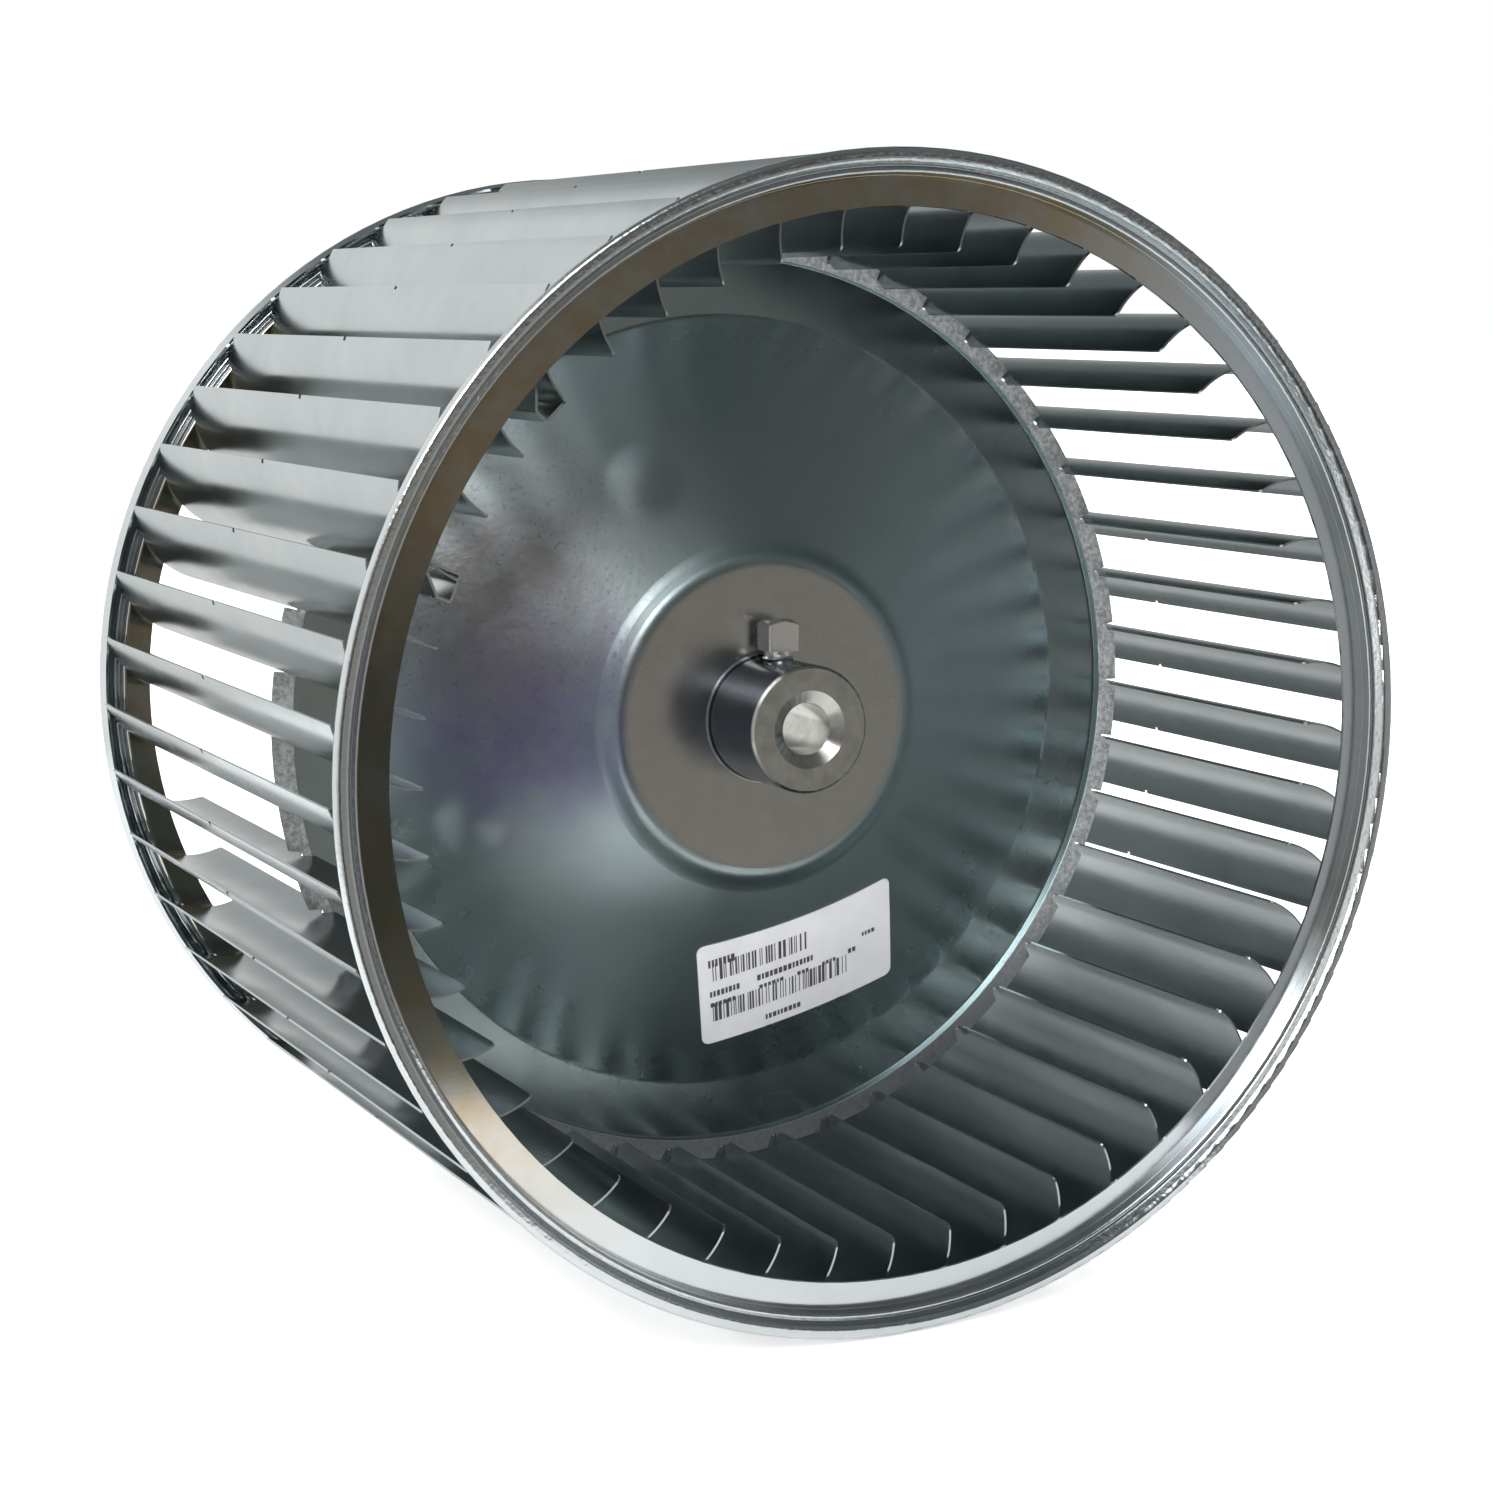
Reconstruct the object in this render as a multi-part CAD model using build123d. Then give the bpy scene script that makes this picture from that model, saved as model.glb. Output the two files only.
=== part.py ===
from build123d import *
import math
import os

# Double-inlet, forward-curved blower wheel in galvanised sheet steel.
# Units are millimetres and +Z is up. The wheel's axis is the Y axis, the side with the
# hub's set screw faces -Y, and the origin is the wheel's centre, half way along its width.

# ---- driving dimensions -------------------------------------------------------------
WHEEL_DIAMETER = 269.9
WHEEL_WIDTH = 196.6
BLADE_COUNT = 48

RING_SHEET = 0.6
BEAD_LENGTH = 4.4           # outer bead of an end ring, from its front face backwards
BEAD_STRAIGHT = 1.7         # the bead keeps its full radius this far, then turns in
BEAD_TAIL_INSET = 0.8       # the bead's tail lies this far inside the outer radius
BEAD_FACE = 2.35            # radial width of the bead's front face
BEAD_ROUNDING = 0.9
GROOVE_INSET = 3.85         # groove between bead and ridge, in from the outer radius
GROOVE_DEPTH = 2.3          # its bottom behind the bead's front face
RIDGE_INSET = 5.15
RIDGE_DEPTH = 1.9
RIDGE_ROUNDING = 0.4
FLANGE_INSET = 5.75         # where the flange begins, in from the outer radius
FLANGE_DEPTH = 4.6          # how far it sits there behind the bead's front face
FLANGE_LIP_DEPTH = 3.0      # the same at its inner edge, which leans forward
FLANGE_INNER_RADIUS = 121.9

BLADE_SHEET = 0.5
BLADE_INNER_RADIUS = 113.3
BLADE_CURVE_RADIUS = 21.5
BLADE_SWEEP = 72.0          # degrees that a blade turns from its inner to its outer edge
BLADE_END_SETBACK = 5.8     # blade end behind the bead's front face, inside the flange
BLADE_CORNER_RADIUS = 1.5
RELIEF_DEPTH = 2.2          # shallow V in the inner edge, where the blade sits over the disc
RELIEF_MOUTH = 5.0          # half its width at the blade's inner edge
RELIEF_FLOOR = 0.7          # half its width at the bottom
TAB_SETBACK = 3.4           # the tab that enters the bead stops this far behind its front face
TAB_START = 16.5            # the tab begins this far out from the blade's inner edge
TAB_END = 19.0
TIP_CORNER_SETBACK = 4.9    # outer corner of a blade, behind the bead's front face
TIP_SLANT = 1.9             # the end between tab and outer corner falls back this much
NICK_WIDTH = 1.6            # small nick in the outer edge, beside the centre disc
NICK_DEPTH = 0.5
NICK_OFFSET = 2.1

DISC_SHEET = 1.0
DISC_OUTER_RADIUS = 118.1
BRIM_INNER_RADIUS = 112.9
BRIM_STEP = 1.9             # the brim stands this far in front of the flat inside it
BRIM_WALL_LEAN = 0.3        # the step's wall leans inwards this much
KNEE_RADIUS = 98.0
BRIM_ROUNDING = 0.2
KNEE_ROUNDING = 2.5
BOSS_FOOT_ROUNDING = 8.6
BOSS_ROUNDING = 4.8
BOSS_FOOT_RADIUS = 43.2
BOSS_FOOT_DEPTH = 21.8      # boss foot in front of the brim
PLATEAU_RADIUS = 39.4
PLATEAU_DEPTH = 24.9        # plateau in front of the brim
SLOT_ROOT_RADIUS = 114.9
SLOT_SIDE = 0.45            # slot edge on the blade's hollow side, out from the blade's radius
SLOT_ROOT_BACK = 0.9        # slot edge behind the blade, at the root
SLOT_MOUTH_BACK = 2.8       # the same at the disc's outer edge

BORE_DIAMETER = 12.7        # 1/2 in motor shaft
HUB_RADIUS = 15.5
HUB_FACE_DEPTH = 48.55      # hub face in front of the brim
SPIGOT_RADIUS = 11.0
COLLAR_RADIUS = 13.2
COLLAR_LENGTH = 2.6
HUB_SEAT_CLEARANCE = 0.05
SINK_WIDTH = 3.1            # countersink at the bore's front end
SINK_DEPTH = 1.85
BORE_REAR_CHAMFER = 0.5
HUB_EDGE_CHAMFER = 0.7
HUB_FOOT_RADIUS = 16.1      # thin foot ring against the disc
HUB_FOOT_THICKNESS = 0.45

SCREW_RADIUS = 3.97         # 5/16-18 thread
SCREW_PITCH = 25.4 / 18
THREAD_DEPTH = 0.6
THREAD_FORM = (0.1, 0.45, 0.6, 0.95)    # root, crest, crest and root, as shares of the pitch
SCREW_HOLE_CLEARANCE = 0.08
SCREW_AXIS_DEPTH = 31.5     # screw axis in front of the brim
SCREW_TIP_CLEARANCE = 0.1
SCREW_POINT_RADIUS = 2.6
SCREW_CUP_DEPTH = 0.8
SCREW_CUP_LIP = 0.4
SCREW_HEAD_ACROSS = 7.94
SCREW_HEAD_BASE = 17.5      # underside of the head above the wheel's axis
SCREW_HEAD_HEIGHT = 7.4
SCREW_HEAD_ROUNDING = 0.6
SCREW_HEAD_OVERLAP = 0.1    # the shank runs this far into the head
SCREW_CROWN_RADIUS = 5.4    # round crown that takes off the head's top corners
SCREW_CROWN_HEIGHT = 1.0
SCREW_CROWN_WIDTH = 1.7
SCREW_HEAD_TURN = -3.6      # degrees that the square head is turned about its own axis
SCREW_NECK_RADIUS = 3.3
SCREW_NECK_LENGTH = 0.9

LABEL_WIDTH = 56.5
LABEL_HEIGHT = 31.4
LABEL_CORNER = 2.2
LABEL_THICKNESS = 0.2
LABEL_GAP = 0.05
LABEL_CUT_REACH = 12.0      # the cutter that trims the label reaches this far off the cone
LABEL_RADIUS = 69.0         # label centre, out from the axis
LABEL_ANGLE = -75.8         # label centre, degrees from +X towards +Z

CLIP_SHEET = 0.6
CLIP_LENGTH = 20.0
CLIP_ARM = 8.0              # web to lips
CLIP_SHOULDER = 3.2
CLIP_HIGH_SIDE = 4.6        # reach of the web on the blade's hollow side
CLIP_LOW_SIDE = 1.6         # the same on its other side
CLIP_BEND = 0.6
CLIP_FLARE = 1.0
CLIP_GRIP = 0.06            # clearance between a clip's lips and the blade
CLIP_NOSE = 0.8             # gap between a clip's web and the blade's inner edge
CLIPS = {"balance_clip_1": (18, -76.5), "balance_clip_2": (21, -78.0)}  # blade, middle along Y

# ---- worked-out values --------------------------------------------------------------
OUTER_RADIUS = WHEEL_DIAMETER / 2
HALF_WIDTH = WHEEL_WIDTH / 2
BLADE_PITCH = 360 / BLADE_COUNT
BRIM_FRONT = -DISC_SHEET / 2
BORE_RADIUS = BORE_DIAMETER / 2

os.makedirs("parts", exist_ok=True)


def revolved(points, radii, thickness):
    """Sheet ring: a filleted line of (radius, y) points, thickened backwards and turned about Y."""
    line = FilletPolyline(*points, radius=radii)
    strip = offset(Wire(line.edges()), amount=thickness, side=Side.RIGHT, kind=Kind.ARC, closed=True)
    return revolve(make_face(strip.edges()), axis=Axis.Y)


def end_ring():
    """Front end ring: outer bead, groove, ridge, short wall and inward flange."""
    half = RING_SHEET / 2
    face = -HALF_WIDTH + half
    bead_radius = OUTER_RADIUS - half
    middle = FilletPolyline(
        (bead_radius - BEAD_TAIL_INSET, face + BEAD_LENGTH),
        (bead_radius, face + BEAD_STRAIGHT),
        (bead_radius, face),
        (bead_radius - BEAD_FACE, face),
        (OUTER_RADIUS - GROOVE_INSET, face + GROOVE_DEPTH),
        (OUTER_RADIUS - RIDGE_INSET, face + RIDGE_DEPTH),
        (OUTER_RADIUS - FLANGE_INSET, face + FLANGE_DEPTH),
        (FLANGE_INNER_RADIUS + half, face + FLANGE_LIP_DEPTH),
        radius=3 * [BEAD_ROUNDING] + 3 * [RIDGE_ROUNDING],
    )
    return revolve(trace(middle, line_width=RING_SHEET), axis=Axis.Y)


def section_point(turn_degrees, shift):
    """Point on a blade's section, shift outwards from its middle line, at angle zero."""
    turn = math.radians(turn_degrees)
    radius = BLADE_CURVE_RADIUS + shift
    return (
        BLADE_INNER_RADIUS + radius * math.sin(turn),
        radius * math.cos(turn) - BLADE_CURVE_RADIUS,
    )


def blade_section():
    """Constant-thickness arc, starting radially at the inner edge."""
    half = BLADE_SHEET / 2
    middle = BLADE_SWEEP / 2
    outer = ThreePointArc(
        section_point(0, half), section_point(middle, half), section_point(BLADE_SWEEP, half)
    )
    tip = Line(outer @ 1, section_point(BLADE_SWEEP, -half))
    inner = ThreePointArc(tip @ 1, section_point(middle, -half), section_point(0, -half))
    heel = Line(inner @ 1, outer @ 0)
    return make_face([outer, tip, inner, heel])


def blade_planform():
    """Half outline of a blade seen along the wheel's tangent, from the centre disc to one end."""
    tip_x = section_point(BLADE_SWEEP, BLADE_SHEET)[0] + 1
    tab_x = BLADE_INNER_RADIUS + TAB_START
    tab_end_x = BLADE_INNER_RADIUS + TAB_END
    end_y = HALF_WIDTH - BLADE_END_SETBACK
    tab_y = HALF_WIDTH - TAB_SETBACK
    corner_y = HALF_WIDTH - TIP_CORNER_SETBACK
    root_x = BLADE_INNER_RADIUS + RELIEF_DEPTH
    outline = Polyline(
        (root_x, 0),
        (root_x, RELIEF_FLOOR),
        (BLADE_INNER_RADIUS, RELIEF_MOUTH),
        (BLADE_INNER_RADIUS, end_y),
        (tab_x, end_y),
        (tab_x, tab_y),
        (tab_end_x, tab_y),
        (tab_end_x, corner_y - TIP_SLANT),
        (tip_x, corner_y),
        (tip_x, 0),
        close=True,
    )
    plate = make_face(outline)
    corner = plate.vertices().filter_by(lambda v: abs(v.X - BLADE_INNER_RADIUS) < 0.01).sort_by(Axis.Y)[-1]
    return fillet(corner, radius=BLADE_CORNER_RADIUS)


def blade():
    """One full-width blade at angle zero."""
    bar = extrude(Plane.XZ * blade_section(), amount=HALF_WIDTH, both=True)
    half_plan = blade_planform()
    plan = half_plan + mirror(half_plan, about=Plane.XZ)
    reach = 2 * BLADE_CURVE_RADIUS
    plate = bar & extrude(plan, amount=reach, both=True)
    tip = section_point(BLADE_SWEEP, 0)
    nick = Pos(tip[0], NICK_OFFSET, tip[1]) * Box(2 * NICK_DEPTH, NICK_WIDTH, 4 * NICK_DEPTH)
    return plate - nick


def centre_disc():
    """Dished disc: slotted brim, step, cone, and a raised boss with a hole for the hub."""
    points = [
        (DISC_OUTER_RADIUS, BRIM_FRONT),
        (BRIM_INNER_RADIUS, BRIM_FRONT),
        (BRIM_INNER_RADIUS - BRIM_WALL_LEAN, BRIM_FRONT + BRIM_STEP),
        (KNEE_RADIUS, BRIM_FRONT + BRIM_STEP),
        (BOSS_FOOT_RADIUS, BRIM_FRONT - BOSS_FOOT_DEPTH),
        (PLATEAU_RADIUS, BRIM_FRONT - PLATEAU_DEPTH),
        (SPIGOT_RADIUS + HUB_SEAT_CLEARANCE, BRIM_FRONT - PLATEAU_DEPTH),
    ]
    radii = [BRIM_ROUNDING, BRIM_ROUNDING, KNEE_ROUNDING, BOSS_FOOT_ROUNDING, BOSS_ROUNDING]
    disc = revolved(points, radii, DISC_SHEET)
    mouth_x = DISC_OUTER_RADIUS + 1
    slot_outline = Polyline(
        (SLOT_ROOT_RADIUS, SLOT_SIDE),
        (mouth_x, SLOT_SIDE),
        (mouth_x, -SLOT_MOUTH_BACK),
        (SLOT_ROOT_RADIUS, -SLOT_ROOT_BACK),
        close=True,
    )
    slot = extrude(Plane.XZ * make_face(slot_outline), amount=2 * DISC_SHEET, both=True)
    slots = [Rot(0, -index * BLADE_PITCH, 0) * slot for index in range(BLADE_COUNT)]
    return disc - slots


def hub():
    """Bored hub with a spigot through the disc, a staked collar and a threaded cross hole."""
    face_y = BRIM_FRONT - HUB_FACE_DEPTH
    seat_y = BRIM_FRONT - PLATEAU_DEPTH - HUB_SEAT_CLEARANCE
    collar_y = seat_y + DISC_SHEET + 2 * HUB_SEAT_CLEARANCE
    end_y = collar_y + COLLAR_LENGTH
    half_profile = make_face(
        Polyline(
            (BORE_RADIUS + SINK_WIDTH, face_y),
            (HUB_RADIUS - HUB_EDGE_CHAMFER, face_y),
            (HUB_RADIUS, face_y + HUB_EDGE_CHAMFER),
            (HUB_RADIUS, seat_y - HUB_FOOT_THICKNESS),
            (HUB_FOOT_RADIUS, seat_y - HUB_FOOT_THICKNESS),
            (HUB_FOOT_RADIUS, seat_y),
            (SPIGOT_RADIUS, seat_y),
            (SPIGOT_RADIUS, collar_y),
            (COLLAR_RADIUS, collar_y),
            (COLLAR_RADIUS, end_y - COLLAR_LENGTH / 2),
            (COLLAR_RADIUS - COLLAR_LENGTH / 2, end_y),
            (BORE_RADIUS + BORE_REAR_CHAMFER, end_y),
            (BORE_RADIUS, end_y - BORE_REAR_CHAMFER),
            (BORE_RADIUS, face_y + SINK_DEPTH),
            close=True,
        )
    )
    body = revolve(half_profile, axis=Axis.Y)
    hole_length = HUB_RADIUS + 1
    hole = Pos(0, BRIM_FRONT - SCREW_AXIS_DEPTH, hole_length / 2) * Cylinder(
        SCREW_RADIUS + SCREW_HOLE_CLEARANCE, hole_length
    )
    return body - hole


def set_screw():
    """Square-head cup-point set screw, its point down in the hub and its head up."""
    tip_z = BORE_RADIUS + SCREW_TIP_CLEARANCE
    neck_z = SCREW_HEAD_BASE - SCREW_NECK_LENGTH
    point_height = SCREW_RADIUS - SCREW_POINT_RADIUS
    root_radius = SCREW_RADIUS - THREAD_DEPTH
    thread_radii = (root_radius, SCREW_RADIUS, SCREW_RADIUS, root_radius)
    points = [
        (0, tip_z + SCREW_CUP_DEPTH),
        (SCREW_POINT_RADIUS - SCREW_CUP_LIP, tip_z),
        (SCREW_POINT_RADIUS, tip_z),
    ]
    ridge_z = tip_z + point_height
    while ridge_z + SCREW_PITCH < neck_z:
        for radius, share in zip(thread_radii, THREAD_FORM):
            points.append((radius, ridge_z + SCREW_PITCH * share))
        ridge_z += SCREW_PITCH
    shank_end_z = SCREW_HEAD_BASE + SCREW_HEAD_OVERLAP
    points += [(SCREW_NECK_RADIUS, neck_z), (SCREW_NECK_RADIUS, shank_end_z), (0, shank_end_z)]
    shank = revolve(Plane.XZ * make_face(Polyline(*points, close=True)), axis=Axis.Z)
    head_middle = SCREW_HEAD_BASE + SCREW_HEAD_HEIGHT / 2
    square = Box(SCREW_HEAD_ACROSS, SCREW_HEAD_ACROSS, SCREW_HEAD_HEIGHT)
    square = fillet(square.edges().filter_by(Axis.Z), radius=SCREW_HEAD_ROUNDING)
    crown = Cylinder(SCREW_CROWN_RADIUS, SCREW_HEAD_HEIGHT)
    crown_edge = crown.faces().sort_by(Axis.Z)[-1].edges()
    crown = chamfer(crown_edge, length=SCREW_CROWN_HEIGHT, length2=SCREW_CROWN_WIDTH)
    head = Pos(0, 0, head_middle) * Rot(0, 0, SCREW_HEAD_TURN) * (square & crown)
    return Pos(0, BRIM_FRONT - SCREW_AXIS_DEPTH, 0) * (shank + head)


def label():
    """Paper label that follows the cone of the disc."""
    run = KNEE_RADIUS - BOSS_FOOT_RADIUS
    rise = BOSS_FOOT_DEPTH + BRIM_STEP
    slope = math.atan2(rise, run)
    out_y = -math.cos(slope)
    out_r = math.sin(slope)
    surface_y = BRIM_FRONT + BRIM_STEP - rise * (KNEE_RADIUS - LABEL_RADIUS) / run

    def on_cone(radius, height):
        base_y = surface_y + (radius - LABEL_RADIUS) * rise / run
        return (radius + out_r * height, base_y + out_y * height)

    low = LABEL_RADIUS - LABEL_HEIGHT
    high = LABEL_RADIUS + LABEL_HEIGHT
    band = make_face(
        Polyline(
            on_cone(low, LABEL_GAP),
            on_cone(high, LABEL_GAP),
            on_cone(high, LABEL_GAP + LABEL_THICKNESS),
            on_cone(low, LABEL_GAP + LABEL_THICKNESS),
            close=True,
        )
    )
    shell = revolve(band, axis=Axis.Y)
    sheet_plane = Plane(origin=(LABEL_RADIUS, surface_y, 0), x_dir=(0, 0, 1), z_dir=(out_r, out_y, 0))
    outline = sheet_plane * RectangleRounded(LABEL_WIDTH, LABEL_HEIGHT, LABEL_CORNER)
    patch = extrude(outline, amount=LABEL_CUT_REACH, both=True)
    return Rot(0, -LABEL_ANGLE, 0) * (shell & patch)


def balance_clip(blade_index, middle_y):
    """Folded spring-steel clip pushed over a blade's inner edge, lips closed on the blade."""
    lip_turn = math.degrees(math.asin((CLIP_ARM - CLIP_NOSE) / BLADE_CURVE_RADIUS))
    lip_x, lip_z = section_point(lip_turn, 0)
    hold = (BLADE_SHEET + CLIP_SHEET) / 2 + CLIP_GRIP
    web_x = BLADE_INNER_RADIUS - CLIP_NOSE - CLIP_SHEET / 2
    shoulder_x = web_x + CLIP_SHOULDER
    line = FilletPolyline(
        (lip_x + CLIP_FLARE, lip_z + hold + CLIP_FLARE / 2),
        (lip_x, lip_z + hold),
        (shoulder_x, CLIP_HIGH_SIDE),
        (web_x, CLIP_HIGH_SIDE),
        (web_x, -CLIP_LOW_SIDE),
        (shoulder_x, -CLIP_LOW_SIDE),
        (lip_x, lip_z - hold),
        (lip_x + CLIP_FLARE, lip_z - hold - CLIP_FLARE),
        radius=CLIP_BEND,
    )
    section = trace(line, line_width=CLIP_SHEET)
    bar = extrude(Plane.XZ * section, amount=CLIP_LENGTH / 2, both=True)
    return Rot(0, -blade_index * BLADE_PITCH, 0) * Pos(0, middle_y, 0) * bar


def save(shape, name):
    solids = shape.solids()
    result = solids[0] if len(solids) == 1 else Compound(children=list(solids))
    result.label = name
    export_step(result, f"parts/{name}.step")


ring = end_ring()
save(ring, "front_ring")
save(mirror(ring, about=Plane.XZ), "rear_ring")
save(centre_disc(), "centre_disc")
save(hub(), "hub")
save(set_screw(), "set_screw")
save(label(), "label")
for clip_name, (clip_blade, clip_y) in CLIPS.items():
    save(balance_clip(clip_blade, clip_y), clip_name)
first_blade = blade()
for index in range(BLADE_COUNT):
    save(Rot(0, -index * BLADE_PITCH, 0) * first_blade, f"blade_{index + 1:02d}")
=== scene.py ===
import math
import random

import bmesh
import bpy
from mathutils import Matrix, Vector


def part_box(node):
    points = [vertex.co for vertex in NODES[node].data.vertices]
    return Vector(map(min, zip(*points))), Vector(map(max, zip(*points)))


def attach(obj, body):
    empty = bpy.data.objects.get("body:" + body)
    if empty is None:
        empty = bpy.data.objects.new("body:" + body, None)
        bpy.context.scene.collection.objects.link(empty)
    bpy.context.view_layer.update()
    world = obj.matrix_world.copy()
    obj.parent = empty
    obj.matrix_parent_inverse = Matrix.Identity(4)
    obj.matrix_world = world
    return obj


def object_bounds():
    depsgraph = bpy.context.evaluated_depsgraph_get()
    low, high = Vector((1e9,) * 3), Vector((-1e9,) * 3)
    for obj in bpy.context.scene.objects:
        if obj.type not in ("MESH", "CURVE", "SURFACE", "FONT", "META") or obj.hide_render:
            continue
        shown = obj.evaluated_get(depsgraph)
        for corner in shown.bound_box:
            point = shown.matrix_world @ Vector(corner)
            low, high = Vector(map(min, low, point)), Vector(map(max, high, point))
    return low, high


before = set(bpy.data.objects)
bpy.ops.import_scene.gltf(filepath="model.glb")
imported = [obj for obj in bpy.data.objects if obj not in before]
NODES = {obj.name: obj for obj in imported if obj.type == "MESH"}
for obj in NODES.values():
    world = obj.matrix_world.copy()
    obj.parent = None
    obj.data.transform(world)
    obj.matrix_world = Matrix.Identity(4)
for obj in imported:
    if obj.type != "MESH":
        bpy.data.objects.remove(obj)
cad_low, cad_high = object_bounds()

# Looks for a galvanised blower wheel. Metres, wheel axis along Y, hub's open end towards -Y.

MM = 0.001
BLADES = sorted(name for name in NODES if name.startswith("blade_"))
WHEEL_RADIUS = cad_high.x
HALF_WIDTH = cad_high.y
DISC_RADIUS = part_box("centre_disc")[1].x
HUB_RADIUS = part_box("hub")[1].x     # over the thin foot ring

CAMERA_PLACE = Vector((-0.3256, -0.6795, 0.1009))
CAMERA_AIM = Vector((0.0050, -0.0043, -0.0103))
CAMERA_LENS = 72.15         # millimetres, on a 36 mm sensor


# ---- node helpers -------------------------------------------------------------------
class Graph:
    """A material's node tree, with short calls for making and joining nodes."""

    def __init__(self, name):
        self.material = bpy.data.materials.new(name)
        self.material.use_nodes = True
        self.tree = self.material.node_tree
        self.shader = self.tree.nodes["Principled BSDF"]
        self.place = self.add("ShaderNodeTexCoord").outputs["Object"]

    def add(self, kind, inputs=None, **settings):
        node = self.tree.nodes.new(kind)
        for key, value in settings.items():
            setattr(node, key, value)
        for key, value in (inputs or {}).items():
            self.feed(node.inputs[key], value)
        return node

    def feed(self, socket, value):
        if isinstance(value, bpy.types.NodeSocket):
            self.tree.links.new(value, socket)
        else:
            socket.default_value = value

    def maths(self, operation, first, second=0.0, clamp=False):
        node = self.add("ShaderNodeMath", operation=operation, use_clamp=clamp)
        self.feed(node.inputs[0], first)
        self.feed(node.inputs[1], second)
        return node.outputs[0]

    def scaled(self, value, low, high, start=0.0, end=1.0, smooth=False):
        """value from start..end mapped to low..high."""
        node = self.add("ShaderNodeMapRange")
        if smooth:
            node.interpolation_type = "SMOOTHSTEP"
        for key, item in (("Value", value), ("From Min", start), ("From Max", end),
                          ("To Min", low), ("To Max", high)):
            self.feed(node.inputs[key], item)
        return node.outputs["Result"]

    def noise(self, size, detail=3.0, roughness=0.5, place=None, distortion=0.0):
        node = self.add(
            "ShaderNodeTexNoise",
            {"Vector": place or self.place, "Scale": 1 / size, "Detail": detail,
             "Roughness": roughness, "Distortion": distortion},
        )
        return node.outputs["Fac"]

    def cells(self, size):
        """A random value for each crystal of a spangle."""
        node = self.add("ShaderNodeTexVoronoi", {"Vector": self.place, "Scale": 1 / size})
        split = self.add("ShaderNodeSeparateColor", {"Color": node.outputs["Color"]})
        return split.outputs["Red"]

    def times(self, first, second):
        return self.maths("MULTIPLY", first, second)

    def plus(self, first, second):
        return self.maths("ADD", first, second)

    def mix(self, amount, first, second):
        node = self.add("ShaderNodeMix", data_type="RGBA")
        self.feed(node.inputs["Factor"], amount)
        self.feed(node.inputs[6], first)
        self.feed(node.inputs[7], second)
        return node.outputs[2]

    def bump(self, height, distance, normal=None):
        node = self.add("ShaderNodeBump", {"Height": height, "Distance": distance, "Strength": 1.0})
        if normal is not None:
            self.feed(node.inputs["Normal"], normal)
        return node.outputs["Normal"]

    def near(self, centre, radius):
        """1 at a point, falling smoothly to 0 at radius."""
        away = self.add("ShaderNodeVectorMath", operation="DISTANCE")
        self.feed(away.inputs[0], self.place)
        away.inputs[1].default_value = centre
        return self.scaled(away.outputs["Value"], 1.0, 0.0, 0.0, radius, smooth=True)

    def radius(self):
        """Distance from the wheel's axis, and the separate coordinates."""
        split = self.add("ShaderNodeSeparateXYZ", {"Vector": self.place})
        across, up = split.outputs["X"], split.outputs["Z"]
        square = self.plus(self.times(across, across), self.times(up, up))
        return self.maths("SQRT", square), split

    def finish(self, colour, roughness, normal, metallic=1.0):
        self.feed(self.shader.inputs["Base Color"], colour)
        self.feed(self.shader.inputs["Roughness"], roughness)
        self.feed(self.shader.inputs["Normal"], normal)
        if not self.shader.inputs["Metallic"].is_linked:
            self.shader.inputs["Metallic"].default_value = metallic
        return self.material


def tone(red, green, blue):
    return (red, green, blue, 1.0)


# ---- materials ----------------------------------------------------------------------
CRYSTAL_SIZE = 5 * MM       # zinc crystals
HAZE_SIZE = 60 * MM
SMEAR_SIZE = 24 * MM
GRAIN_SIZE = 1.2 * MM
GRAIN_HEIGHT = 0.004 * MM
WAVE_SIZE = 35 * MM
WAVE_HEIGHT = 0.12 * MM

DISC_LIGHT = tone(0.42, 0.49, 0.50)
DISC_DARK = tone(0.31, 0.375, 0.38)
DISC_ROUGHNESS = 0.33
POLISH_START = 70 * MM      # the dish gets a little glossier between these two radii
POLISH_END = 105 * MM
POLISH = -0.09

# Painted reflection: a purple-blue patch put into the dish's colour on one side.
PURPLE_REFLECTION_CENTRE = (-60 * MM, -14 * MM, 2 * MM)
PURPLE_REFLECTION_REACH = 42 * MM
PURPLE_REFLECTION_PATCH = 9 * MM
PURPLE_REFLECTION_COLOUR = tone(0.25, 0.21, 0.52)

WORN_CENTRE = (-66 * MM, -12 * MM, 34 * MM)
WORN_REACH = 62 * MM
SPECK_SIZE = 1.1 * MM
SPECK_COLOUR = tone(0.12, 0.12, 0.14)
STAIN_SIZE = 26 * MM
STAIN_COLOUR = tone(0.24, 0.23, 0.235)
WORN_GRAIN_SIZE = 1.6 * MM
WORN_GRAIN_HEIGHT = 0.06 * MM
DENTS = (
    # centre, reach, height
    ((-35 * MM, -18 * MM, 74 * MM), 12 * MM, -1.4 * MM),
    ((-28 * MM, -18 * MM, 60 * MM), 12 * MM, 1.3 * MM),
    ((-72 * MM, -10 * MM, -24 * MM), 10 * MM, 0.6 * MM),
)

PLATEAU_EDGE = 36.5 * MM
PLATEAU_FADE = 2 * MM
PLATEAU_REFLECTION_PATCH = 3 * MM
# Painted reflection: brown tones for the flat around the hub.
PLATEAU_REFLECTION_DARK = tone(0.48, 0.44, 0.39)
PLATEAU_REFLECTION_LIGHT = tone(0.60, 0.56, 0.51)

BRIM_EDGE = DISC_RADIUS - 5.2 * MM
# Painted light and shade: the brim is pale higher up and dark towards the bottom.
BRIM_LIT = tone(0.74, 0.76, 0.76)
BRIM_SHADED = tone(0.13, 0.14, 0.15)
BRIM_SHADE_BOTTOM = -100 * MM
BRIM_SHADE_TOP = -35 * MM
BRIM_METAL = 0.45
SCUFF_SIZE = 1.1 * MM
SCUFF_COLOUR = tone(0.20, 0.21, 0.22)

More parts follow.
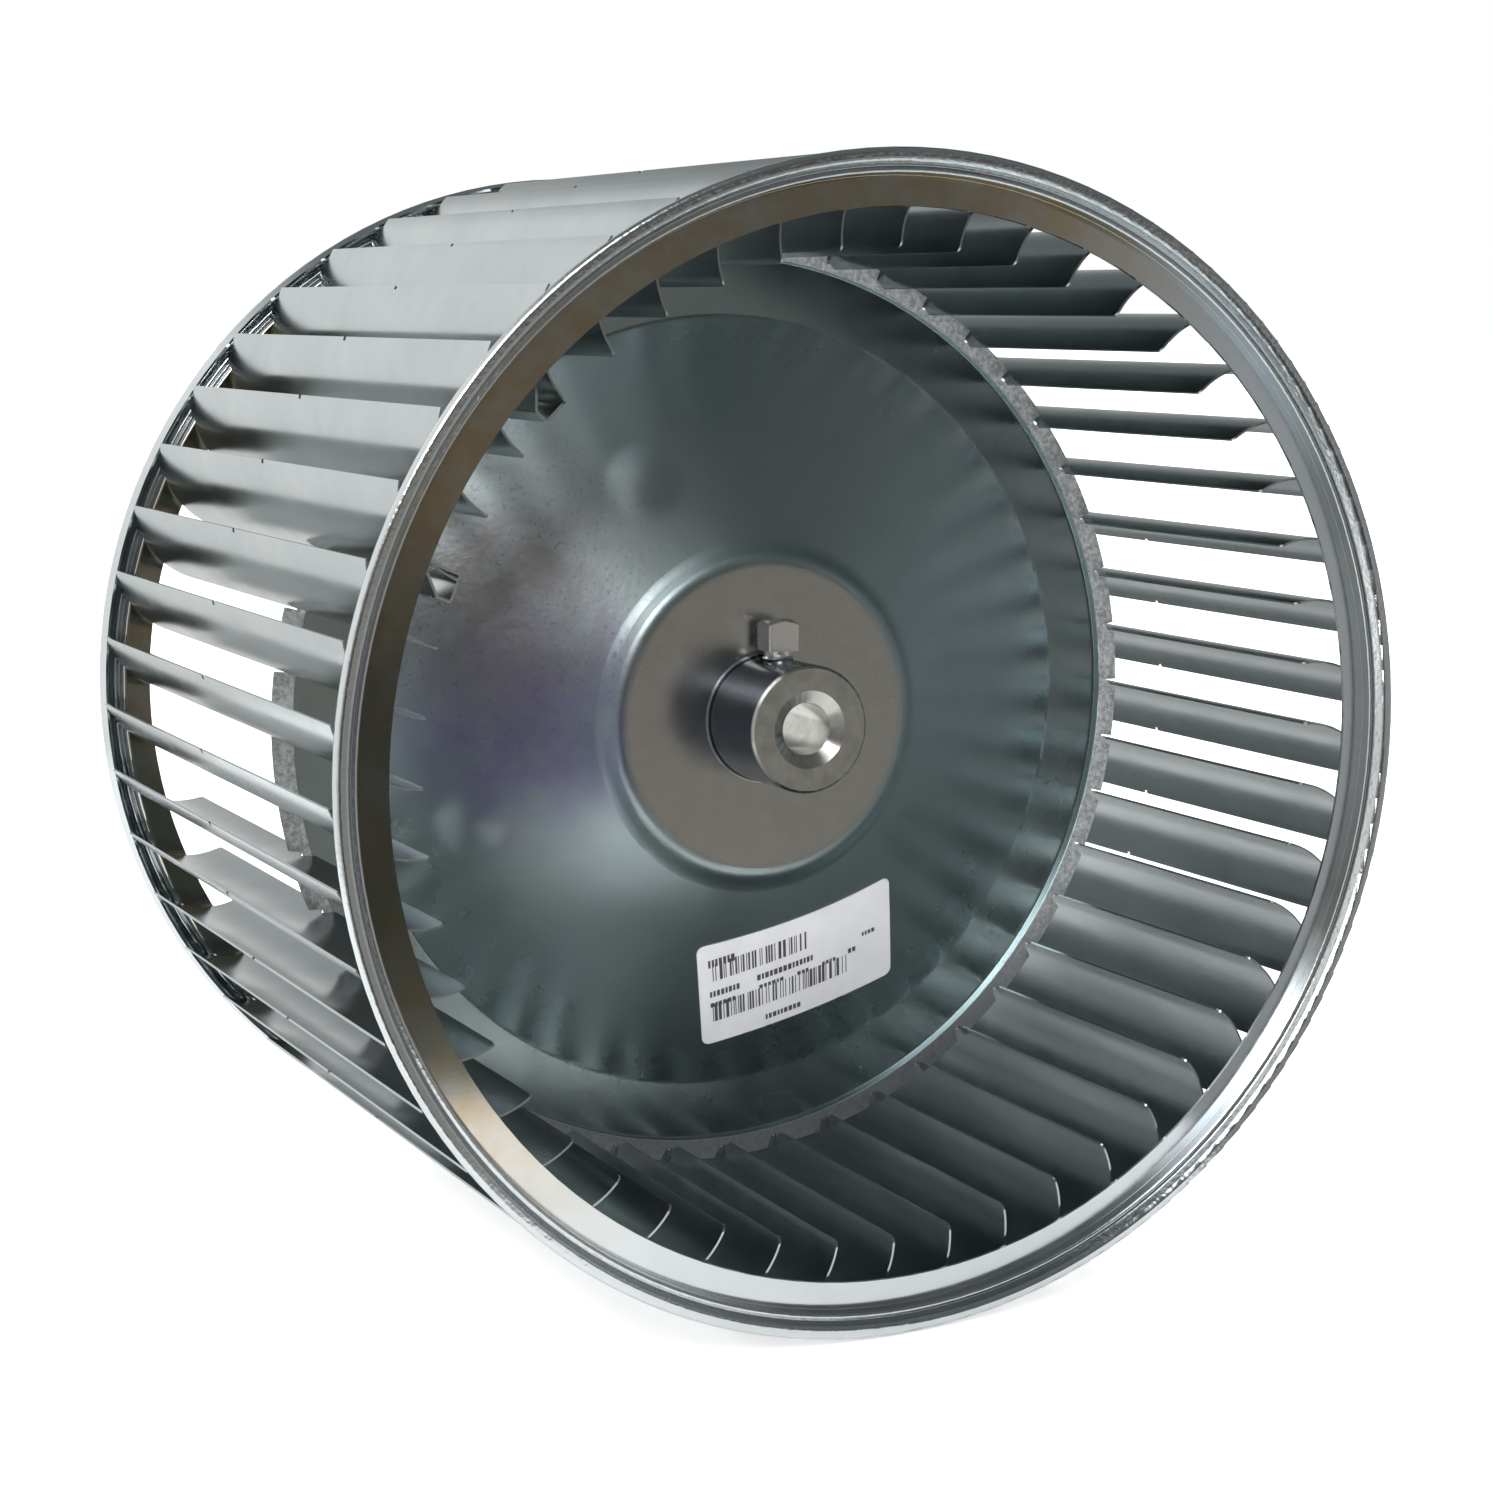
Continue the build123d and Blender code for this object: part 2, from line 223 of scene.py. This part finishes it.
PITTED_DEPTH = HALF_WIDTH - 2.7 * MM
PIT_SIZE = 1.4 * MM
PIT_HEIGHT = 0.09 * MM
FLANGE_EDGE = WHEEL_RADIUS - 5.95 * MM
# Painted reflection: brown in patches on one side of the ring's flange.
REFLECTION_SIDE = (-0.8, 0.0, 0.6)
REFLECTION_START = -20 * MM    # how far along that side the painted reflection starts and is full
REFLECTION_END = 60 * MM
REFLECTION_PATCH = 7 * MM
FLANGE_REFLECTION_BROWN = tone(0.52, 0.40, 0.22)

HUB_SIDE = HUB_RADIUS - 0.8 * MM
HUB_FOOT = HUB_RADIUS - 0.3 * MM
# Painted highlight: a bright line on the hub's foot ring.
HUB_FOOT_HIGHLIGHT = tone(0.85, 0.85, 0.84)
DIRT_SIZE = 5 * MM


def sheet_steel(name, light, dark, rough, waviness=1.0):
    """Zinc-coated sheet: faint crystals, slow haze, slight waves. Gives graph, colour, gloss, normal."""
    g = Graph(name)
    crystal = g.cells(CRYSTAL_SIZE)
    haze = g.noise(HAZE_SIZE, detail=4.0, roughness=0.55, distortion=0.4)
    haze_share = g.scaled(haze, 0.2, 0.8, 0.3, 0.7)
    crystal_share = g.scaled(crystal, -0.05, 0.05)
    colour = g.mix(g.maths("ADD", haze_share, crystal_share, clamp=True), dark, light)
    smear = g.noise(SMEAR_SIZE, detail=4.0, roughness=0.6)
    roughness = g.scaled(smear, rough * 0.85, rough * 1.2, 0.3, 0.7)
    normal = g.bump(g.noise(GRAIN_SIZE, detail=2.0), GRAIN_HEIGHT)
    normal = g.bump(g.noise(WAVE_SIZE, detail=1.0), WAVE_HEIGHT * waviness, normal=normal)
    return g, colour, roughness, normal


def with_purple_reflection(g, colour):
    """Painted purple reflection, in patches, on one side of the dish."""
    patches = g.scaled(g.noise(PURPLE_REFLECTION_PATCH, detail=5.0), 0.4, 1.0, 0.35, 0.6)
    purple_reflection = g.times(g.near(PURPLE_REFLECTION_CENTRE, PURPLE_REFLECTION_REACH), patches)
    return g.mix(g.times(purple_reflection, 0.85), colour, PURPLE_REFLECTION_COLOUR)


def worn_dish(g, colour, roughness, normal):
    """Specks, stains and a grainy feel around one place in the dish."""
    worn = g.near(WORN_CENTRE, WORN_REACH)
    specks = g.scaled(g.noise(SPECK_SIZE, detail=2.0), 0.0, 1.0, 0.60, 0.68)
    colour = g.mix(g.times(g.times(specks, worn), 0.8), colour, SPECK_COLOUR)
    cloud = g.noise(STAIN_SIZE, detail=5.0, roughness=0.65, distortion=0.8)
    stain = g.scaled(cloud, 0.45, 1.0, 0.42, 0.58)
    colour = g.mix(g.times(stain, worn), colour, STAIN_COLOUR)
    roughness = g.plus(roughness, g.times(worn, 0.06))
    grain = g.times(g.noise(WORN_GRAIN_SIZE, detail=3.0), worn)
    return colour, roughness, g.bump(grain, WORN_GRAIN_HEIGHT, normal=normal)


def plateau_gloss_and_reflection(g, radius, colour, roughness):
    """Glossier flat around the hub, with a painted brown reflection in its colour."""
    plateau = g.scaled(radius, 0.75, 0.0, PLATEAU_EDGE, PLATEAU_EDGE + PLATEAU_FADE)
    painted_brown_reflection = g.mix(g.noise(PLATEAU_REFLECTION_PATCH, detail=5.0), PLATEAU_REFLECTION_DARK, PLATEAU_REFLECTION_LIGHT)
    return g.mix(plateau, colour, painted_brown_reflection), g.plus(roughness, g.times(plateau, -0.13))


def brim_scuffs_light_and_shade(g, radius, height, colour, roughness):
    """Duller, scuffed brim with painted light higher up and painted shade towards the bottom. Also sets
    how metallic the disc is.
    """
    brim = g.scaled(radius, 0.0, 1.0, BRIM_EDGE, BRIM_EDGE + 0.2 * MM)
    lit_share = g.scaled(height, 0.0, 1.0, BRIM_SHADE_BOTTOM, BRIM_SHADE_TOP, smooth=True)
    scuffs = g.noise(SCUFF_SIZE, detail=4.0, roughness=0.7)
    brim_colour = g.mix(lit_share, BRIM_SHADED, BRIM_LIT)
    brim_colour = g.mix(g.scaled(scuffs, 0.0, 0.7, 0.38, 0.62), brim_colour, SCUFF_COLOUR)
    g.feed(g.shader.inputs["Metallic"], g.scaled(brim, 1.0, BRIM_METAL))
    return g.mix(brim, colour, brim_colour), g.plus(roughness, g.times(brim, 0.24))


def disc_material():
    """Dished disc: a painted purple reflection, specks and dents in the dish, a painted brown reflection
    on the plateau, a scuffed brim with painted light and shade.
    """
    g, colour, roughness, normal = sheet_steel("disc_steel", DISC_LIGHT, DISC_DARK, DISC_ROUGHNESS)
    radius, split = g.radius()
    colour = with_purple_reflection(g, colour)
    colour, roughness, normal = worn_dish(g, colour, roughness, normal)
    for centre, reach, height in DENTS:
        normal = g.bump(g.near(centre, reach), height, normal=normal)
    colour, roughness = plateau_gloss_and_reflection(g, radius, colour, roughness)
    polish = g.scaled(radius, 0.0, POLISH, POLISH_START, POLISH_END, smooth=True)
    roughness = g.plus(roughness, polish)
    colour, roughness = brim_scuffs_light_and_shade(g, radius, split.outputs["Z"], colour, roughness)
    return g.finish(colour, roughness, normal)


def ring_material():
    """End ring: small sparkling pits on bead and ridge, and a painted brown reflection in patches on the
    upper-left part of the flange.
    """
    light, dark = tone(0.66, 0.69, 0.70), tone(0.52, 0.55, 0.56)
    g, colour, roughness, normal = sheet_steel("ring_steel", light, dark, 0.17, 0.5)
    radius, split = g.radius()
    depth = g.maths("ABSOLUTE", split.outputs["Y"])
    crest = g.scaled(depth, 0.0, 1.0, PITTED_DEPTH, PITTED_DEPTH + 0.8 * MM, smooth=True)
    normal = g.bump(g.times(g.noise(PIT_SIZE, detail=2.0), crest), PIT_HEIGHT, normal=normal)
    tilt = g.add("ShaderNodeVectorMath", operation="DOT_PRODUCT")
    g.feed(tilt.inputs[0], g.place)
    tilt.inputs[1].default_value = REFLECTION_SIDE
    painted_side = g.scaled(tilt.outputs["Value"], 0.0, 1.0, REFLECTION_START, REFLECTION_END, smooth=True)
    flange = g.scaled(radius, 1.0, 0.0, FLANGE_EDGE, FLANGE_EDGE + 0.6 * MM)
    patches = g.scaled(g.noise(REFLECTION_PATCH, detail=5.0, roughness=0.6), 0.55, 1.0, 0.35, 0.6)
    painted_reflection = g.times(g.times(painted_side, flange), patches)
    colour = g.mix(g.times(painted_reflection, 0.8), colour, FLANGE_REFLECTION_BROWN)
    return g.finish(colour, roughness, normal)


def blade_material():
    light, dark = tone(0.52, 0.55, 0.55), tone(0.36, 0.41, 0.42)
    g, colour, roughness, normal = sheet_steel("blade_steel", light, dark, 0.20)
    return g.finish(colour, roughness, normal)


def clip_material():
    light, dark = tone(0.58, 0.62, 0.62), tone(0.42, 0.46, 0.47)
    g, colour, roughness, normal = sheet_steel("clip_steel", light, dark, 0.2, 0.3)
    return g.finish(colour, roughness, normal)


def turned_steel(name, light, dark, painted_side, rough, groove):
    """Plated steel from the lathe: fine rings about the wheel's axis, a little dirt, painted shade on the
    outer side and a painted highlight on the foot ring.
    """
    g = Graph(name)
    radius, split = g.radius()
    line = g.add("ShaderNodeCombineXYZ", {"X": radius, "Y": split.outputs["Y"]})
    rings = g.noise(groove, detail=3.0, place=line.outputs["Vector"])
    dirt = g.noise(DIRT_SIZE, detail=5.0, roughness=0.6)
    colour = g.mix(g.scaled(dirt, 0.0, 1.0, 0.35, 0.65), dark, light)
    # Painted shade: the outer side takes the darker side colour.
    side_shade_mask = g.scaled(radius, 0.0, 0.95, HUB_SIDE, HUB_SIDE + 0.1 * MM)
    colour = g.mix(side_shade_mask, colour, painted_side)
    # Painted highlight: the foot ring's edge is painted bright.
    foot_highlight = g.scaled(radius, 0.0, 1.0, HUB_FOOT, HUB_FOOT + 0.1 * MM)
    colour = g.mix(foot_highlight, colour, HUB_FOOT_HIGHLIGHT)
    roughness = g.plus(g.scaled(dirt, rough, rough * 1.3, 0.3, 0.7), g.scaled(rings, -0.02, 0.02))
    normal = g.bump(rings, 0.006 * MM, normal=g.bump(g.noise(0.9 * MM), 0.003 * MM))
    return g.finish(colour, roughness, normal)


def printed_paper(name, colour, rough):
    g = Graph(name)
    fibre = g.noise(0.5 * MM, detail=4.0, roughness=0.7)
    cloud = g.noise(12 * MM, detail=3.0)
    shade = g.times(g.scaled(fibre, 0.94, 1.04), g.scaled(cloud, 0.93, 1.03, 0.3, 0.7))
    mixed = g.add("ShaderNodeVectorMath", operation="SCALE")
    mixed.inputs[0].default_value = colour[:3]
    g.feed(mixed.inputs["Scale"], shade)
    gloss = g.scaled(cloud, rough * 0.9, rough * 1.1)
    return g.finish(mixed.outputs["Vector"], gloss, g.bump(fibre, 0.01 * MM), metallic=0.0)


def dress(node, material):
    """Gives a CAD node one material."""
    mesh = NODES[node].data
    mesh.materials.clear()
    mesh.materials.append(material)


disc_steel = disc_material()
blade_steel = blade_material()
rim_steel = ring_material()
# Each turned part's third colour is painted on its outer side; on the hub it is painted shade.
hub_steel = turned_steel(
    "hub_steel", tone(0.55, 0.54, 0.50), tone(0.42, 0.42, 0.39), tone(0.13, 0.16, 0.21), 0.16, 0.5 * MM)
screw_steel = turned_steel(
    "screw_steel", tone(0.26, 0.32, 0.33), tone(0.16, 0.21, 0.22), tone(0.30, 0.36, 0.36), 0.24, 0.9 * MM)
clip_steel = clip_material()
paper = printed_paper("label_paper", tone(0.80, 0.80, 0.82), 0.5)
ink = printed_paper("label_ink", tone(0.07, 0.07, 0.08), 0.45)

DRESSED = {
    "front_ring": rim_steel,
    "rear_ring": rim_steel,
    "centre_disc": disc_steel,
    "hub": hub_steel,
    "set_screw": screw_steel,
    "balance_clip_1": clip_steel,
    "balance_clip_2": clip_steel,
    "label": paper,
}
for node_name, finish in DRESSED.items():
    dress(node_name, finish)
for node_name in BLADES:
    dress(node_name, blade_steel)


# ---- label print --------------------------------------------------------------------
LABEL_RADIUS = 69 * MM
LABEL_ANGLE = math.radians(-75.8)
PRINT_LIFT = 0.03 * MM
RAY_START = 0.2             # in front of the wheel
BAR_WIDTHS = (0.25, 0.25, 0.5, 0.8)     # millimetres, like the next three
BAR_GAPS = (0.25, 0.3, 0.5, 0.9)
BLOCK_WIDTHS = (0.6, 0.8, 1.0)
BLOCK_GAP = 0.35
BAR_CODES = (
    # left end, height up the label, length, bar height
    (-24.5 * MM, 4.4 * MM, 26.5 * MM, 5.2 * MM),
    (-25.0 * MM, -7.6 * MM, 39.5 * MM, 5.4 * MM),
)
DASHES = (
    # left end, height up the label, length, dash height
    (-25.5 * MM, 8.6 * MM, 7.0 * MM, 2.2 * MM),
    (-25.5 * MM, -0.2 * MM, 7.5 * MM, 1.7 * MM),
    (-12.5 * MM, 0.2 * MM, 16.0 * MM, 1.7 * MM),
    (-25.5 * MM, -3.2 * MM, 7.0 * MM, 1.3 * MM),
    (-12.0 * MM, -2.4 * MM, 6.0 * MM, 1.1 * MM),
    (-1.0 * MM, -2.6 * MM, 3.5 * MM, 1.1 * MM),
    (6.5 * MM, -2.6 * MM, 3.5 * MM, 1.1 * MM),
    (14.5 * MM, -2.2 * MM, 2.0 * MM, 1.4 * MM),
    (19.0 * MM, 1.2 * MM, 3.2 * MM, 1.2 * MM),
    (-10.5 * MM, -12.4 * MM, 10.5 * MM, 1.5 * MM),
)


def on_label(across, up):
    """Point just above the label's paper, from its own coordinates."""
    outward = Vector((math.cos(LABEL_ANGLE), 0, math.sin(LABEL_ANGLE)))
    along = Vector((-math.sin(LABEL_ANGLE), 0, math.cos(LABEL_ANGLE)))
    start = outward * (LABEL_RADIUS - up) + along * across + Vector((0, -RAY_START, 0))
    hit, place, normal, _ = NODES["label"].ray_cast(start, Vector((0, 1, 0)))
    return place + normal * PRINT_LIFT if hit else None


def strip(mesh, left, low, width, height):
    """Adds a printed rectangle to a mesh."""
    right, top = left + width, low + height
    corners = [on_label(left, low), on_label(right, low), on_label(right, top), on_label(left, top)]
    if all(corners):
        mesh.faces.new([mesh.verts.new(corner) for corner in corners])


def printed(name, fill):
    """One piece of print on the label, filled in by a function that draws strips."""
    shape = bmesh.new()
    fill(shape)
    bmesh.ops.recalc_face_normals(shape, faces=shape.faces)
    mesh = bpy.data.meshes.new(name)
    shape.to_mesh(mesh)
    shape.free()
    mesh.materials.append(ink)
    piece = bpy.data.objects.new(name, mesh)
    bpy.context.scene.collection.objects.link(piece)
    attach(piece, "wheel")


def draw_bars(shape):
    """Rows of upright bars of random width, which carry no code."""
    for left, low, length, height in BAR_CODES:
        place = left
        while place < left + length:
            width = rng.choice(BAR_WIDTHS) * MM
            strip(shape, place, low, width, height)
            place += width + rng.choice(BAR_GAPS) * MM


def draw_dashes(shape):
    """Short blocks where a label has its lines of print."""
    for left, low, length, height in DASHES:
        place = left
        while place < left + length:
            width = rng.choice(BLOCK_WIDTHS) * MM
            strip(shape, place, low, width, height)
            place += width + BLOCK_GAP * MM


rng = random.Random(4)
bpy.context.view_layer.update()
printed("label_bars", draw_bars)
printed("label_dashes", draw_dashes)


# ---- stage --------------------------------------------------------------------------
def stage_material(name, colour, rough, glow):
    g = Graph(name)
    cloud = g.noise(0.4, detail=2.0)
    shade = g.add("ShaderNodeVectorMath", operation="SCALE")
    shade.inputs[0].default_value = colour[:3]
    g.feed(shade.inputs["Scale"], g.scaled(cloud, 0.99, 1.01))
    g.shader.inputs["Emission Color"].default_value = colour
    g.shader.inputs["Emission Strength"].default_value = glow
    return g.finish(shade.outputs["Vector"], rough, g.bump(cloud, 0.1 * MM), metallic=0.0)


def level_sheet(name, size, place, material):
    mesh = bpy.data.meshes.new(name)
    half_x, half_y = size[0] / 2, size[1] / 2
    corners = [(-half_x, -half_y, 0), (half_x, -half_y, 0), (half_x, half_y, 0), (-half_x, half_y, 0)]
    mesh.from_pydata(corners, [], [(0, 1, 2, 3)])
    mesh.materials.append(material)
    sheet = bpy.data.objects.new(name, mesh)
    bpy.context.scene.collection.objects.link(sheet)
    sheet.location = place
    return sheet


def softbox(name, size, place, power):
    """Small bright panel aimed at the wheel's centre, itself unseen."""
    light = bpy.data.lights.new(name, "AREA")
    light.shape = "RECTANGLE"
    light.size, light.size_y = size
    light.energy = power
    lamp = bpy.data.objects.new(name, light)
    bpy.context.scene.collection.objects.link(lamp)
    lamp.location = place
    lamp.rotation_euler = (-Vector(place)).to_track_quat("-Z", "Y").to_euler()
    lamp.visible_camera = False


class Sky:
    """World light that depends only on direction: bright behind and below, dim in front."""

    def __init__(self, colour):
        self.world = bpy.data.worlds.new("studio")
        self.world.use_nodes = True
        self.tree = self.world.node_tree
        self.way = self.tree.nodes.new("ShaderNodeTexCoord").outputs["Generated"]
        self.colour = colour

    def along(self, axis):
        """Cosine between a direction and an axis."""
        node = self.tree.nodes.new("ShaderNodeVectorMath")
        node.operation = "DOT_PRODUCT"
        self.tree.links.new(self.way, node.inputs[0])
        node.inputs[1].default_value = Vector(axis).normalized()
        return node.outputs["Value"]

    def lobe(self, axis, start, end, colour):
        """Fades to colour as the cosine to axis goes from start to end."""
        ramp = self.tree.nodes.new("ShaderNodeMapRange")
        ramp.interpolation_type = "SMOOTHSTEP"
        ramp.inputs["From Min"].default_value = start
        ramp.inputs["From Max"].default_value = end
        self.tree.links.new(self.along(axis), ramp.inputs["Value"])
        self.layer(ramp.outputs["Result"], colour)

    def layer(self, amount, colour):
        shade = self.tree.nodes.new("ShaderNodeMix")
        shade.data_type = "RGBA"
        shade.inputs[7].default_value = colour
        self.tree.links.new(amount, shade.inputs["Factor"])
        if isinstance(self.colour, tuple):
            shade.inputs[6].default_value = self.colour
        else:
            self.tree.links.new(self.colour, shade.inputs[6])
        self.colour = shade.outputs[2]

    def finish(self):
        rays = self.tree.nodes.new("ShaderNodeLightPath")
        self.layer(rays.outputs["Is Camera Ray"], WHITE)
        self.tree.links.new(self.colour, self.tree.nodes["Background"].inputs["Color"])
        bpy.context.scene.world = self.world


def sunlight(name, strength, angle):
    """Even, very soft light from overhead that leaves no highlight of its own."""
    light = bpy.data.lights.new(name, "SUN")
    light.energy = strength
    light.angle = math.radians(angle)
    lamp = bpy.data.objects.new(name, light)
    bpy.context.scene.collection.objects.link(lamp)
    lamp.visible_glossy = False


WHITE = (1.0, 1.0, 1.0, 1.0)
ROOM_COLOUR = (0.16, 0.145, 0.125, 1.0)
SKY_LOBES = (
    # axis, cosine where the lobe starts, cosine where it is full, colour
    ((0.3, -0.8, 0.75), 0.80, 1.0, (0.14, 0.15, 0.155, 1.0)),           # dim, high in front
    ((0.87, -0.48, -0.05), 0.80, 0.97, (0.40, 0.41, 0.42, 1.0)),        # front right
    ((-0.02, -0.97, -0.20), 0.93, 0.985, (0.04, 0.05, 0.05, 1.0)),      # dark, straight in front
    ((0.30, -0.95, -0.10), 0.955, 0.988, (0.34, 0.30, 0.24, 1.0)),      # brown glow for the flange
    ((-0.42, -0.53, 0.73), 0.89, 0.97, (4.2, 4.3, 4.4, 1.0)),           # window, high front left
    ((0.44, -0.88, 0.12), 0.965, 0.992, (0.09, 0.085, 0.08, 1.0)),      # dark, for the flange's top
    ((0.45, -0.87, -0.20), 0.965, 0.99, (0.32, 0.315, 0.30, 1.0)),      # soft, for the plateau
    ((-0.42, -0.90, -0.12), 0.95, 1.0, (0.12, 0.12, 0.17, 1.0)),        # dim blue, front left
    ((0.1, -0.25, -1.0), 0.62, 0.80, (0.88, 0.98, 1.04, 1.0)),          # pale ground
    ((-0.9, 0.0, -0.45), 0.30, 0.80, (0.60, 0.61, 0.60, 1.0)),          # low left
    ((-0.45, 0.85, 0.15), -0.20, 0.20, (0.88, 0.88, 0.87, 1.0)),        # bright wall behind
    ((-0.75, 0.60, 0.25), 0.50, 0.95, (1.10, 1.11, 1.10, 1.0)),         # brightest, back left
    ((0.45, 0.35, 0.82), 0.50, 0.82, (0.15, 0.17, 0.175, 1.0)),         # dim, high back right
    ((0.75, 0.55, -0.35), 0.70, 0.95, (0.35, 0.36, 0.36, 1.0)),         # grey, low back right
)
sky = Sky(ROOM_COLOUR)
for lobe in SKY_LOBES:
    sky.lobe(*lobe)
sky.finish()

FLOOR_ROUGHNESS = 0.8
FLOOR_GLOW = 0.62           # keeps the contact shadow pale
FLOOR_DROP = 0.5 * MM
FAR_FLOOR_SIZE = (30, 30)
MIRRORED_FLOOR_SIZE = (0.59, 0.62)
floor_white = stage_material("floor", WHITE, FLOOR_ROUGHNESS, FLOOR_GLOW)
far_floor = level_sheet("far_floor", FAR_FLOOR_SIZE, (0, 0, cad_low.z - FLOOR_DROP), floor_white)
far_floor.visible_glossy = False

# A second sheet under the wheel is seen only in the steel's reflections.
mirrored_white = stage_material("mirrored_floor", WHITE, FLOOR_ROUGHNESS, 0.0)
mirrored_place = (-0.155, 0.09, cad_low.z)
mirrored_floor = level_sheet("mirrored_floor", MIRRORED_FLOOR_SIZE, mirrored_place, mirrored_white)
mirrored_floor.visible_camera = False
mirrored_floor.visible_diffuse = False
mirrored_floor.visible_shadow = False

softbox("key_upper", (0.30, 0.35), (-0.85, -1.30, 1.25), 4.0)
softbox("key_lower", (0.25, 0.30), (-0.75, -1.60, 0.95), 3.0)
sunlight("fill", 2.2, 120)
bpy.context.scene.view_settings.view_transform = "Standard"

camera_data = bpy.data.cameras.new("camera")
camera_data.lens = CAMERA_LENS
camera = bpy.data.objects.new("camera", camera_data)
bpy.context.scene.collection.objects.link(camera)
camera.location = CAMERA_PLACE
camera.rotation_euler = (CAMERA_AIM - CAMERA_PLACE).to_track_quat("-Z", "Y").to_euler()
bpy.context.scene.camera = camera
